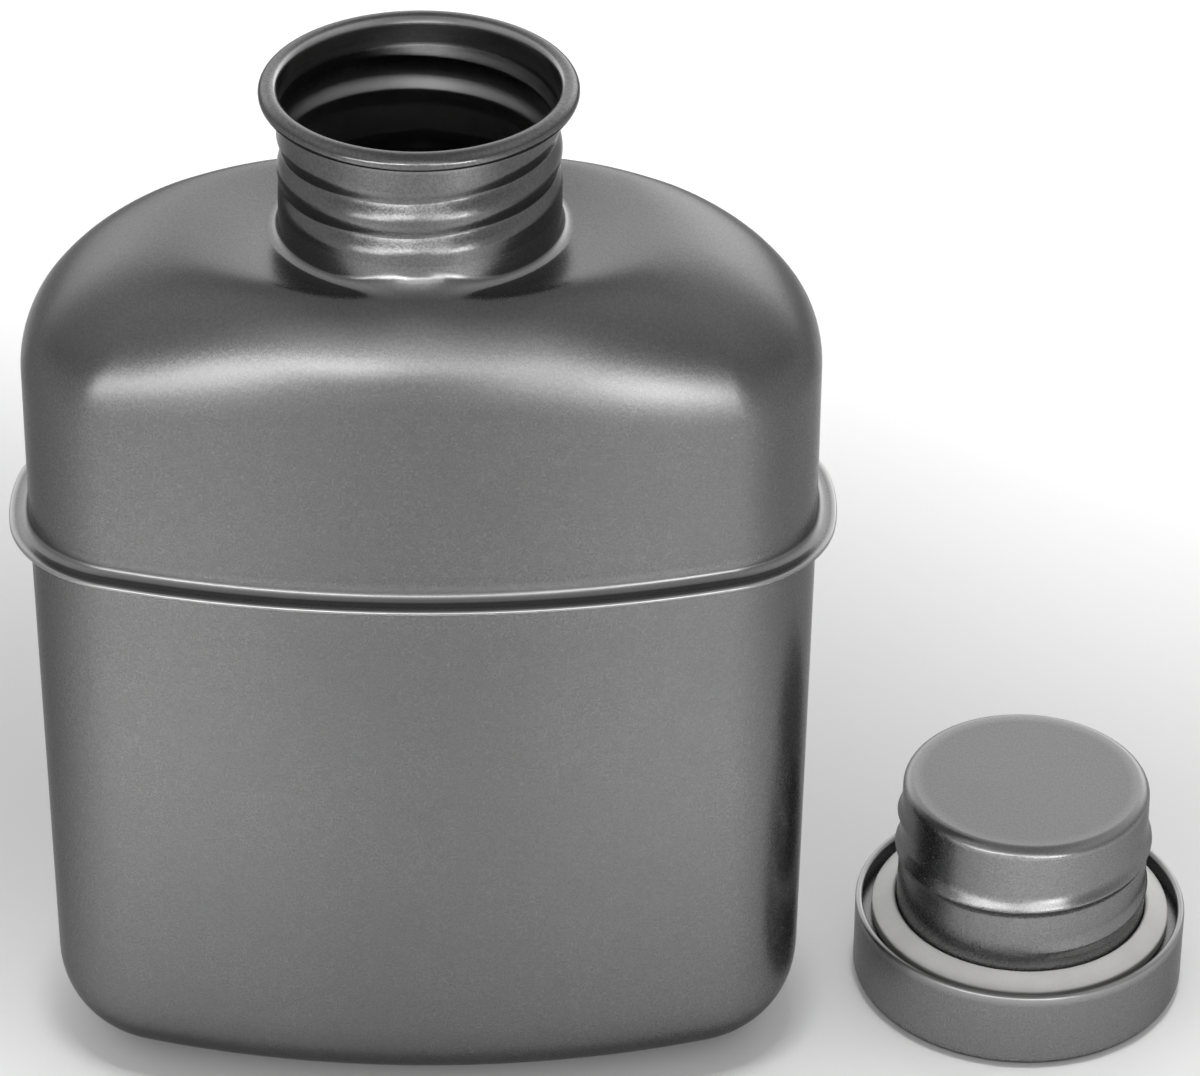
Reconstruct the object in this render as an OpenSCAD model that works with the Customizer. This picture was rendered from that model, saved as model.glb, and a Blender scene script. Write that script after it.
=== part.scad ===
// Titanium water bottle: an oval canteen of two pressed half shells joined at a flat
// seam flange, with a threaded neck, and its screw cap standing upside down beside it.
// Millimetres, +Z up. The origin is the middle of the bottle's base, and -Y is its front.

/* [Body] */
// Width over the seam flange
flange_w = 146; // [120:1:170]
// Depth over the seam flange
flange_d = 72; // [66:1:80]
// Radius of the broad front and back of the outline
front_r = 188; // [150:1:260]
// Radius of the outline's four corners
corner_r = 24.5; // [18:0.5:30]
// Radius of the outline's two narrow ends
end_r = 52; // [40:1:65]
// Thickness of the pressed sheet
sheet_t = 0.5; // [0.4:0.05:0.8]
// Height of the seam between the half shells
seam_h = 108.8; // [90:0.1:125]
// How far the flange stands out from the upper wall
flange_out = 3.5; // [2.5:0.1:5]
// How much further in the base's narrow ends are than the seam's
end_set_in = 1.2; // [0:0.1:3]
// Radius of the base's edge
base_edge_r = 17; // [10:0.5:22]
// Radius where a wall turns out into the flange
flange_fillet_r = 1.5; // [1:0.1:2]

/* [Shoulder] */
// Height of the shoulder's flat top
shoulder_h = 166; // [155:0.5:175]
// Where the narrow ends start to bend in, below the shoulder's top
end_bend_drop = 27; // [18:0.5:35]
// Where the front and back start to bend in, below the shoulder's top
front_bend_drop = 18.5; // [12:0.5:28]
// Where the bend ends on the way to the narrow ends, from the neck's axis
end_top_r = 38; // [30:0.5:50]
// Where the bend would end on the way to the front, from the neck's axis
front_top_r = 24; // [20:0.5:27]
// Width of the smooth turn from the shoulder up into the neck
neck_turn = 2; // [1:0.1:4]
// Height of the shoulder's collar, up to the weld with the neck
collar_h = 4.5; // [4:0.1:8]

/* [Neck] */
// Outer radius of the neck
neck_r = 24.3; // [20:0.1:26]
// Height of the neck from the weld to the middle of the rolled rim
neck_h = 20.6; // [18:0.1:28]
// Radius of the rolled rim's bead
rim_bead_r = 1.7; // [1.2:0.1:2.5]
// Height of the plain wall between the thread and the rim
rim_wall = 2.5; // [2:0.1:5]

/* [Thread] */
// Rise of the thread in one turn
pitch = 6.5; // [5:0.1:8]
// Depth of the neck's pressed thread
neck_thread_depth = 0.75; // [0.4:0.05:0.9]
// How far the neck's thread lies below the rim's middle, at its first turn at +X
neck_thread_drop = 7.3; // [6:0.1:9]
// How far the plug's thread lies below the plug's end, at its first turn at +X
plug_thread_drop = 11.4; // [10:0.1:15]
// How far the plug's thread stands out
plug_thread_rise = 0.85; // [0.4:0.05:0.9]

/* [Cap] */
// Gap across between the bottle's flange and the cap
cap_gap = 6.75; // [2:0.25:60]
// How far the cap stands behind the bottle's middle
cap_y = 8.8; // [-20:0.1:20]
// Room between the sealing ring and the cap's skirt
ring_room = 2.55; // [1:0.05:5]
// Height of the cap's skirt
cap_h = 16.2; // [15:0.1:20]
// Radius of the edge between the cap's top and its skirt
cap_edge_r = 2.5; // [1.5:0.1:4]
// Clearance between the neck's inner wall and the plug's end
plug_clearance = 1.05; // [0.95:0.05:2]
// How much wider the plug is at its root
plug_flare = 0.45; // [0:0.05:0.6]
// Height of the plug's end above the cap's top
plug_h = 43.3; // [38:0.1:50]
// Radius of the edge around the plug's end
plug_edge_r = 2; // [1:0.1:3]
// Height of the ring's seat above the cap's top
seat_h = 13; // [11:0.1:13.5]
// How far the sealing ring stands out past the bottle's rim
ring_overhang = 0.5; // [0:0.1:1.5]
// Thickness of the sealing ring at the plug
ring_inner_t = 3.9; // [3:0.1:5]
// Thickness of the sealing ring at its outer edge
ring_outer_t = 2.4; // [1.5:0.1:3]

/* [Hidden] */
titanium = [0.44, 0.44, 0.45];
silicone = [0.72, 0.71, 0.70];
wall_facets = 96;
round_facets = 32;
tiny = 0.01;

// Outline of the body: three arcs in each quarter, tangent to each other
half_w = flange_w / 2;
half_d = flange_d / 2;
front_centre = [0, front_r - half_d];
end_centre = [half_w - end_r, 0];
corner_centre = arc_meeting(front_centre, front_r - corner_r, end_centre, end_r - corner_r);
front_sweep = atan2(corner_centre.x - front_centre.x, front_centre.y - corner_centre.y);
corner_sweep = atan2(corner_centre.x - end_centre.x, end_centre.y - corner_centre.y);
front_steps = 6;
corner_steps = 7;
end_steps = 2;
quarter_steps = front_steps + corner_steps + end_steps;
stations = 4 * quarter_steps;
turnings = concat(
    [for (k = [0 : front_steps - 1]) front_sweep * k / front_steps],
    [for (k = [0 : corner_steps - 1]) front_sweep + (corner_sweep - front_sweep) * k / corner_steps],
    [for (k = [0 : end_steps]) corner_sweep + (90 - corner_sweep) * k / end_steps]);

// Heights and radii that follow from the sizes above
end_bend_h = shoulder_h - end_bend_drop;
front_bend_h = shoulder_h - front_bend_drop;
neck_foot_h = shoulder_h + collar_h;
rim_h = neck_foot_h + neck_h;
neck_thread_h = rim_h - neck_thread_drop;
rim_r = neck_r - sheet_t + 2 * rim_bead_r;
ring_r = rim_r + ring_overhang;
cap_r = ring_r + ring_room + sheet_t;
cap_x = half_w + cap_gap + cap_r;
plug_r = neck_r - sheet_t - plug_clearance;
plug_thread_h = plug_h - plug_thread_drop;
ring_inner_h = seat_h + ring_inner_t;
ring_outer_h = seat_h + ring_outer_t;

// Shoulder
wall_half_w = half_w - flange_out;
wall_half_d = half_d - flange_out;
rise_share = 0.5;
reach_share = 0.475;
blend_share = 0.4;
dome_steps = 9;
turn_steps = 3;
turn_share = 0.6;
solve_steps = 18;
slope_step = 0.05;

// Thread of the neck, pressed in from outside: angles count up around the neck from +X
neck_from_angle = -550;
neck_to_angle = 125;
neck_flank_up = 2.6;
neck_flank_down = 3.2;
plug_flank_up = 2.6;
plug_flank_down = 1.8;
fade_angle = 40;
end_fade = 1;
crest_share = 0.85;
thread_facets = 48;
neck_rows = 18;
plug_rows = 14;
neck_top_h = rim_h - rim_wall;
lap_h = 0.2;
lap_in = 0.16;

// Thread of the plug: a full turn and more, and a short second start at the root
plug_from_angle = -230;
plug_to_angle = 205;
second_start_drop = 9.9;
second_from_angle = -95;
second_to_angle = 60;

// Cap
hem_r = 0.65;
cap_wall_r = cap_r - sheet_t;
lip_h = 3;
plug_root_up = 5.5;
plug_root_h = seat_h + plug_root_up;
plug_edge_h = plug_h - plug_edge_r;
root_r = plug_wall_r(seat_h);
ring_gap = 0.1;
ring_round_r = 0.5;
edge_steps = 4;

// Meeting point of two circles, the one on the front right
function arc_meeting(a, ra, b, rb) =
    let (gap = norm(b - a), along = (ra ^ 2 - rb ^ 2 + gap ^ 2) / (2 * gap))
    let (out = sqrt(ra ^ 2 - along ^ 2), way = (b - a) / gap)
    a + along * way + out * [-way.y, way.x];

// A point of the outline's front right quarter, drawn in by inset
function quarter_point(turning, inset) =
    let (n = [sin(turning), -cos(turning)])
    turning < front_sweep ? front_centre + (front_r - inset) * n
    : turning < corner_sweep ? corner_centre + (corner_r - inset) * n
    : end_centre + (end_r - inset) * n;

// The same point on all four quarters, counted counterclockwise from the front
function outline_point(i, inset) =
    let (quarter = floor(i / quarter_steps), k = i % quarter_steps)
    let (p = quarter_point(turnings[quarter % 2 == 0 ? k : quarter_steps - k], inset))
    [quarter < 2 ? p.x : -p.x, quarter == 0 || quarter == 3 ? p.y : -p.y];

// One ring of the body at height h, its narrow ends drawn in by a further draft
function body_ring(inset, h, draft = 0) =
    let (narrow = (half_w - inset - draft) / (half_w - inset))
    [for (i = [0 : stations - 1]) let (p = outline_point(i, inset)) [p.x * narrow, p.y, h]];

function mix(a, b, share) = a + (b - a) * share;
function curve(a, b, c, d, t) =
    (1 - t) ^ 3 * a + 3 * (1 - t) ^ 2 * t * b + 3 * (1 - t) * t ^ 2 * c + t ^ 3 * d;

// The shoulder's section towards one station: [wall radius, top radius, bend height, top height]
function section(i, inset) =
    let (wall = norm(outline_point(i, flange_out)))
    let (narrow = (wall - wall_half_d) / (wall_half_w - wall_half_d))
    let (share = 1 - (1 - narrow) ^ (1 / blend_share))
    [wall - inset, mix(front_top_r, end_top_r, share) - inset,
     mix(front_bend_h, end_bend_h, share), shoulder_h - inset];

// Height of the shoulder at radius r, found by halving the curve's span
function shoulder_z(s, r) = r <= s[1] ? s[3] : section_z(s, halved(s, r, 0, 1, solve_steps));
function section_r(s, t) = curve(s[0], s[0], mix(s[1], s[0], reach_share), s[1], t);
function section_z(s, t) = curve(s[2], mix(s[2], s[3], rise_share), s[3], s[3], t);
function halved(s, r, low, high, steps) =
    let (middle = (low + high) / 2)
    steps == 0 ? middle
    : section_r(s, middle) > r ? halved(s, r, middle, high, steps - 1)
    : halved(s, r, low, middle, steps - 1);

// Radius and height along one section, from the wall up to the collar's end
function shoulder_profile(i, inset) =
    let (s = section(i, inset), foot_r = neck_r + neck_turn, r_in = neck_r - inset)
    let (foot_z = shoulder_z(s, foot_r))
    let (slope = (shoulder_z(s, foot_r + slope_step) - foot_z) / slope_step)
    let (foot = [foot_r, foot_z], knee = [r_in, foot_z - slope * (foot_r - r_in)])
    let (top = [r_in, knee.y + norm(foot - knee)])
    concat(
        [for (k = [0 : dome_steps - 1]) let (r = mix(foot_r, s[0], cos(90 * k / dome_steps)))
            [r, k == 0 ? s[2] : shoulder_z(s, r)]],
        [for (k = [0 : turn_steps]) curve(foot, mix(foot, knee, turn_share),
            mix(top, knee, turn_share), top, k / turn_steps)],
        [[r_in, neck_foot_h]]);

function shoulder_rings(inset) =
    let (profiles = [for (i = [0 : stations - 1]) shoulder_profile(i, inset)])
    let (ways = [for (i = [0 : stations - 1]) let (p = outline_point(i, flange_out)) p / norm(p)])
    [for (k = [0 : len(profiles[0]) - 1]) [for (i = [0 : stations - 1])
        [ways[i].x * profiles[i][k].x, ways[i].y * profiles[i][k].x, profiles[i][k].y]]];

// Faces between rings of n points; the two ends are closed flat, or joined to each other
function skin_faces(rings, n, joined) = concat(
    [for (k = [0 : rings - (joined ? 1 : 2)], i = [0 : n - 1], half = [0, 1])
        let (a = k * n + i, b = k * n + (i + 1) % n, up = ((k + 1) % rings) * n - k * n)
        half == 0 ? [a, b, b + up] : [a, b + up, a + up]],
    joined ? [] : [[for (i = [n - 1 : -1 : 0]) i], [for (i = [0 : n - 1]) (rings - 1) * n + i]]);

module skin(rings, joined = false) {
    n = len(rings[0]);
    polyhedron([for (ring = rings) each ring], [for (f = skin_faces(len(rings), n, joined))
        [for (k = [len(f) - 1 : -1 : 0]) f[k]]]);
}

// Quarter turn of a fillet or an edge: [inset, height] at each step
function turned(inset, h, r_in, r_up, from, to, steps) =
    [for (k = [0 : steps]) let (a = mix(from, to, k / steps)) [inset + r_in * cos(a), h + r_up * sin(a)]];

// How strongly a thread shows at angle turn, fading in and out at its ends
function faded(turn, from, to) =
    let (a = min(1, max(0, (turn - from) / fade_angle)), b = min(1, max(0, (to - turn) / fade_angle)))
    (1 - cos(180 * a)) / 2 * (1 - cos(180 * b)) / 2;

// Rounded crest of a thread, at height dz from its middle
function crest(dz, up, down) =
    (1 + cos(180 * min(1, abs(dz) / (dz > 0 ? up : down)) ^ crest_share)) / 2;

// Sum over the turns of a thread that passes angle a at height h + pitch * a / 360
function thread_share(a, z, h, from, to, up, down) =
    max([for (k = [floor(from / 360) - 1 : ceil(to / 360)]) let (turn = a + 360 * k)
        faded(turn, from, to) * crest(z - h - pitch * turn / 360, up, down)]);

// How far height z is clear of a band's two ends, from 0 at an end to 1
function clear_share(z, low, high) = max(0, min(1, (high - z) / end_fade, (z - low) / end_fade));

function neck_press(a, z) = neck_thread_depth * clear_share(z, neck_foot_h, neck_top_h - lap_h)
    * thread_share(a, z, neck_thread_h, neck_from_angle, neck_to_angle, neck_flank_up, neck_flank_down);

function plug_wall_r(z) = plug_r + plug_flare * (plug_edge_h - z) / (plug_edge_h - seat_h);
function plug_swell(a, z) = plug_thread_rise * clear_share(z, plug_root_h + lap_h, plug_edge_h) * max(
    thread_share(a, z, plug_thread_h, plug_from_angle, plug_to_angle, plug_flank_up, plug_flank_down),
    thread_share(a, z, plug_thread_h - second_start_drop, second_from_angle, second_to_angle,
        plug_flank_up, plug_flank_down) / 2);

function neck_ring(inset, z) = [for (k = [0 : thread_facets - 1]) let (a = 360 * k / thread_facets)
    let (r = neck_r - inset - neck_press(a, z)) [r * cos(a), r * sin(a), z]];
function plug_ring(inset, z) = [for (k = [0 : thread_facets - 1]) let (a = 360 * k / thread_facets)
    let (r = plug_wall_r(z) - inset + plug_swell(a, z)) [r * cos(a), r * sin(a), z]];
function round_ring(r, z) = [for (k = [0 : thread_facets - 1]) let (a = 360 * k / thread_facets)
    [r * cos(a), r * sin(a), z]];

// Upper half shell: flange sheet, straight wall, domed shoulder and the collar under the neck
module upper_shell() {
    root_in = flange_out + sheet_t;
    outside = turned(flange_out - flange_fillet_r, seam_h + sheet_t + flange_fillet_r,
        flange_fillet_r, flange_fillet_r, -90, 0, turn_steps);
    inside = turned(root_in - flange_fillet_r, seam_h + flange_fillet_r,
        flange_fillet_r, flange_fillet_r, 0, -90, turn_steps);
    down = shoulder_rings(sheet_t);
    color(titanium) skin(concat(
        [body_ring(0, seam_h), body_ring(0, seam_h + sheet_t)],
        [for (p = outside) body_ring(p.x, p.y)],
        shoulder_rings(0),
        [for (k = [len(down) - 1 : -1 : 0]) down[k]],
        [for (p = inside) body_ring(p.x, p.y)]), joined = true);
}

// Lower half shell: flange sheet, drafted wall, rounded edge and flat base
module lower_shell() {
    root_in = flange_out + sheet_t;
    span = seam_h - base_edge_r;
    function drafted(p) = body_ring(p.x, p.y, end_set_in * min(1, max(0, (seam_h - p.y) / span)));
    edge_h = base_edge_r - sheet_t;
    inside = concat(
        turned(root_in + edge_h, base_edge_r, -edge_h, -edge_h, 90, 0, edge_steps + 1),
        turned(root_in - flange_fillet_r, seam_h - flange_fillet_r,
            flange_fillet_r, flange_fillet_r, 0, 90, turn_steps));
    outside = concat(
        [[0, seam_h], [0, seam_h - sheet_t]],
        turned(flange_out - flange_fillet_r, seam_h - sheet_t - flange_fillet_r,
            flange_fillet_r, flange_fillet_r, 90, 0, turn_steps),
        turned(flange_out + base_edge_r, base_edge_r, -base_edge_r, -base_edge_r, 0, 90, edge_steps + 1));
    color(titanium) skin([for (p = concat(inside, outside)) drafted(p)]);
}

// Neck: a welded tube with the thread pressed into it, and an outward rolled rim
module neck() {
    bead_x = neck_r - sheet_t + rim_bead_r;
    heights = [for (k = [0 : neck_rows]) mix(neck_foot_h, neck_top_h - lap_h, k / neck_rows)];
    color(titanium) {
        skin(concat([for (z = heights) neck_ring(0, z)],
            [neck_ring(lap_in, neck_top_h + lap_h), neck_ring(sheet_t - lap_in, neck_top_h + lap_h)],
            [for (k = [neck_rows : -1 : 0]) neck_ring(sheet_t, heights[k])]), joined = true);
        rotate_extrude($fn = wall_facets) {
            translate([neck_r - sheet_t, neck_top_h]) square([sheet_t, rim_wall]);
            translate([bead_x, rim_h]) difference() {
                circle(rim_bead_r, $fn = wall_facets);
                circle(rim_bead_r - sheet_t, $fn = wall_facets);
                translate([-rim_bead_r, -rim_bead_r]) square([rim_bead_r - tiny, rim_bead_r]);
            }
        }
    }
}

// Outer cap, standing on its top: a drawn cup with a hemmed edge
module cap_shell() {
    color(titanium) translate([cap_x, cap_y]) rotate_extrude($fn = wall_facets) {
        difference() {
            union() {
                square([cap_r - cap_edge_r, cap_h - hem_r]);
                translate([0, cap_edge_r]) square([cap_r, cap_h - hem_r - cap_edge_r]);
                translate([cap_r - cap_edge_r, cap_edge_r]) circle(cap_edge_r, $fn = wall_facets);
            }
            translate([0, sheet_t]) square([cap_r - cap_edge_r, cap_h]);
            translate([0, cap_edge_r]) square([cap_wall_r, cap_h]);
            translate([cap_r - cap_edge_r, cap_edge_r]) circle(cap_edge_r - sheet_t, $fn = wall_facets);
        }
        translate([cap_r - hem_r, cap_h - hem_r]) circle(hem_r, $fn = wall_facets);
    }
}

// Stopper inside the cap: a drawn cup with a rolled thread, a seat for the ring and a welded lip
module cap_plug() {
    heights = [for (k = [0 : plug_rows]) mix(plug_root_h + lap_h, plug_edge_h, k / plug_rows)];
    edge_r = plug_edge_r - sheet_t;
    centre_r = plug_r - plug_edge_r;
    outside = [for (k = [1 : edge_steps]) let (a = 90 * k / edge_steps)
        round_ring(centre_r + plug_edge_r * cos(a), plug_edge_h + plug_edge_r * sin(a))];
    inside = [for (k = [edge_steps : -1 : 1]) let (a = 90 * k / edge_steps)
        round_ring(centre_r + edge_r * cos(a), plug_edge_h + edge_r * sin(a))];
    color(titanium) translate([cap_x, cap_y]) {
        skin(concat(inside, [for (k = [plug_rows : -1 : 0]) plug_ring(sheet_t, heights[k])],
            [plug_ring(sheet_t - lap_in, plug_root_h - lap_h), plug_ring(lap_in, plug_root_h - lap_h)],
            [for (z = heights) plug_ring(0, z)], outside));
        rotate_extrude($fn = wall_facets) {
            polygon([[root_r - sheet_t, seat_h - sheet_t], [root_r, seat_h - sheet_t],
                [plug_wall_r(plug_root_h), plug_root_h], [plug_wall_r(plug_root_h) - sheet_t, plug_root_h]]);
            translate([root_r - sheet_t, seat_h - sheet_t]) square([cap_wall_r - root_r + sheet_t, sheet_t]);
            translate([cap_wall_r - sheet_t, seat_h - lip_h]) square([sheet_t, lip_h]);
        }
    }
}

// Silicone ring round the plug's root, crowned where the bottle's rim presses on it
module sealing_ring() {
    inner_r = root_r + ring_gap;
    color(silicone) translate([cap_x, cap_y]) rotate_extrude($fn = wall_facets) hull() {
        translate([inner_r, seat_h + ring_gap]) square([ring_r - inner_r, ring_round_r]);
        translate([inner_r, ring_inner_h - ring_round_r]) square([ring_round_r, ring_round_r]);
        translate([ring_r - ring_round_r, ring_outer_h - ring_round_r])
            circle(ring_round_r, $fn = round_facets);
    }
}

upper_shell();
lower_shell();
neck();
cap_shell();
cap_plug();
sealing_ring();
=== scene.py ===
"""Looks of an oval titanium water bottle and of its screw cap, which stands upside down beside it.

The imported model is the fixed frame. Each pressed or turned piece gets a fine smooth skin of the
same size as its solid and a procedural finish. Sizes in the classes are millimetres, as in the
solids, and become metres when a mesh is made.
"""

from __future__ import annotations

import logging
import math
from dataclasses import dataclass, field
from enum import Enum
from typing import Callable, Iterable, Sequence, TypeVar, Union

import bpy
import numpy as np
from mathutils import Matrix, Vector

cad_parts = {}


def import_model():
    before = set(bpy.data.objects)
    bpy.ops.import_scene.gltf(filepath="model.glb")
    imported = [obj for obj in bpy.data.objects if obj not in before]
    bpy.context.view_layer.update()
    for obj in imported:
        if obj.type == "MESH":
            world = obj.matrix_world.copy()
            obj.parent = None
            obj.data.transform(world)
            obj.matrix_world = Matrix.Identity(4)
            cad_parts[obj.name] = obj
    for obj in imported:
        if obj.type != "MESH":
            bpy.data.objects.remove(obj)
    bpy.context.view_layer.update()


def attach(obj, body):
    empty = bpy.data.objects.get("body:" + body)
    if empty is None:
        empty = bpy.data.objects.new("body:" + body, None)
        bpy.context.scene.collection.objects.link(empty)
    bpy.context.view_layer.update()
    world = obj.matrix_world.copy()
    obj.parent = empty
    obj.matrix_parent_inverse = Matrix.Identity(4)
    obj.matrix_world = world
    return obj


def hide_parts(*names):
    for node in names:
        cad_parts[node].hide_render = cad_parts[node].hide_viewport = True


LOG = logging.getLogger("bottle")
MM = 0.001
# Point attribute that makes the titanium's colour lighter. It holds real rubbing on edges and lips, and
# painted light: bounced light inside the neck and body, and a highlight on the collar's turn.
WEAR_AND_PAINTED_LIGHT = "wear_and_painted_light"
POLISHED = "polished"

Number = Union["Value", float]
Amount = TypeVar("Amount", float, np.ndarray)


class Body(Enum):
    """Rigid bodies of the frame that pieces ride on."""

    BOTTLE = "bottle"
    SEAL = "seal"
    CAP = "cap"


class Slot(Enum):
    """Material slots of the record."""

    BODY = "body_titanium"
    CAP = "cap_titanium"
    SEAL = "seal_silicone"


class Value:
    """One number of a shader, which takes the ordinary operators."""

    def __init__(self, graph: "Graph", socket: bpy.types.NodeSocket) -> None:
        """Wrap a socket.

        Args:
            graph: The graph that the socket's node is in.
            socket: An output socket that carries one number.
        """
        self.graph = graph
        self.socket = socket

    def _with(self, operation: str, first: Number, second: Number, clamp: bool = False) -> "Value":
        """Join two numbers by one Math node.

        Args:
            operation: The node's operation.
            first: Its first number.
            second: Its second number.
            clamp: Whether the result is kept from 0 to 1.

        Returns:
            The result.
        """
        node = self.graph.node(
            "ShaderNodeMath", {"operation": operation, "use_clamp": clamp}, {0: first, 1: second}
        )
        return Value(self.graph, node.outputs[0])

    def __add__(self, other: Number) -> "Value":
        """Add."""
        return self._with("ADD", self, other)

    def __radd__(self, other: Number) -> "Value":
        """Add to a plain number."""
        return self._with("ADD", other, self)

    def __sub__(self, other: Number) -> "Value":
        """Subtract."""
        return self._with("SUBTRACT", self, other)

    def __rsub__(self, other: Number) -> "Value":
        """Subtract from a plain number."""
        return self._with("SUBTRACT", other, self)

    def __mul__(self, other: Number) -> "Value":
        """Multiply."""
        return self._with("MULTIPLY", self, other)

    def __rmul__(self, other: Number) -> "Value":
        """Multiply a plain number."""
        return self._with("MULTIPLY", other, self)

    def __pow__(self, other: Number) -> "Value":
        """Raise to a power."""
        return self._with("POWER", self, other)

    def held(self) -> "Value":
        """The number kept from 0 to 1."""
        return self._with("ADD", self, 0.0, clamp=True)

    def step(self, low: float, high: float) -> "Value":
        """Rise smoothly from 0 to 1.

        Args:
            low: Where the rise starts.
            high: Where it ends.

        Returns:
            The smooth step.
        """
        node = self.graph.node(
            "ShaderNodeMapRange",
            {"interpolation_type": "SMOOTHSTEP"},
            {"Value": self, "From Min": low, "From Max": high},
        )
        return Value(self.graph, node.outputs["Result"])


Link = Union[Value, bpy.types.NodeSocket, float, Sequence[float]]


class Graph:
    """The nodes of one material or world."""

    def __init__(self, tree: bpy.types.NodeTree) -> None:
        """Start from an empty tree.

        Args:
            tree: The node tree, which is emptied.
        """
        self.tree = tree
        tree.nodes.clear()

    def node(
        self,
        kind: str,
        settings: dict[str, object] | None = None,
        inputs: dict[str | int, Link] | None = None,
    ) -> bpy.types.Node:
        """Make one node.

        Args:
            kind: The node's type.
            settings: Its settings, which are set first.
            inputs: Values or links of its sockets, by name or by number.

        Returns:
            The node.
        """
        made = self.tree.nodes.new(kind)
        for name, value in (settings or {}).items():
            setattr(made, name, value)
        for name, value in (inputs or {}).items():
            if isinstance(value, Value):
                value = value.socket
            if isinstance(value, bpy.types.NodeSocket):
                self.tree.links.new(value, made.inputs[name])
            else:
                made.inputs[name].default_value = value
        return made

    def value(
        self, kind: str, output: str, settings: dict[str, object], inputs: dict[str | int, Link]
    ) -> Value:
        """Make a node and wrap the output that carries its number.

        Args:
            kind: The node's type.
            output: The output's name.
            settings: The node's settings.
            inputs: Its sockets.

        Returns:
            The wrapped output.
        """
        return Value(self, self.node(kind, settings, inputs).outputs[output])

    def object_place(self) -> bpy.types.NodeSocket:
        """The point on the piece, in metres, in the frame."""
        return self.node("ShaderNodeTexCoord").outputs["Object"]

    def noise(self, place: bpy.types.NodeSocket, size_mm: float, detail: float = 2.0) -> Value:
        """Cloudy noise from 0 to 1.

        Args:
            place: The point.
            size_mm: Size of its clouds, in millimetres.
            detail: Number of finer layers.

        Returns:
            The noise.
        """
        return self.value(
            "ShaderNodeTexNoise", "Fac", {"noise_dimensions": "3D"},
            {"Vector": place, "Scale": 1.0 / (size_mm * MM), "Detail": detail},
        )

    def mixed(self, share: Number, low: Link, high: Link) -> bpy.types.NodeSocket:
        """Mix two colours.

        Args:
            share: Share of the second, from 0 to 1.
            low: The first colour.
            high: The second colour.

        Returns:
            The mixed colour.
        """
        node = self.node("ShaderNodeMix", {"data_type": "RGBA"}, {0: share, 6: low, 7: high})
        return node.outputs[2]

    def attribute(self, name: str) -> Value:
        """A number that the mesh keeps at each point.

        Args:
            name: The attribute's name.

        Returns:
            The number.
        """
        return self.value("ShaderNodeAttribute", "Fac", {"attribute_name": name}, {})


def grey(tone: float, warmth: float = 0.0) -> tuple[float, float, float, float]:
    """A nearly neutral colour.

    Args:
        tone: Its lightness, linear.
        warmth: How much redder than blue it is, as a share.

    Returns:
        The colour.
    """
    return (tone * (1 + warmth / 2), tone, tone * (1 - warmth / 2), 1.0)


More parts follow.
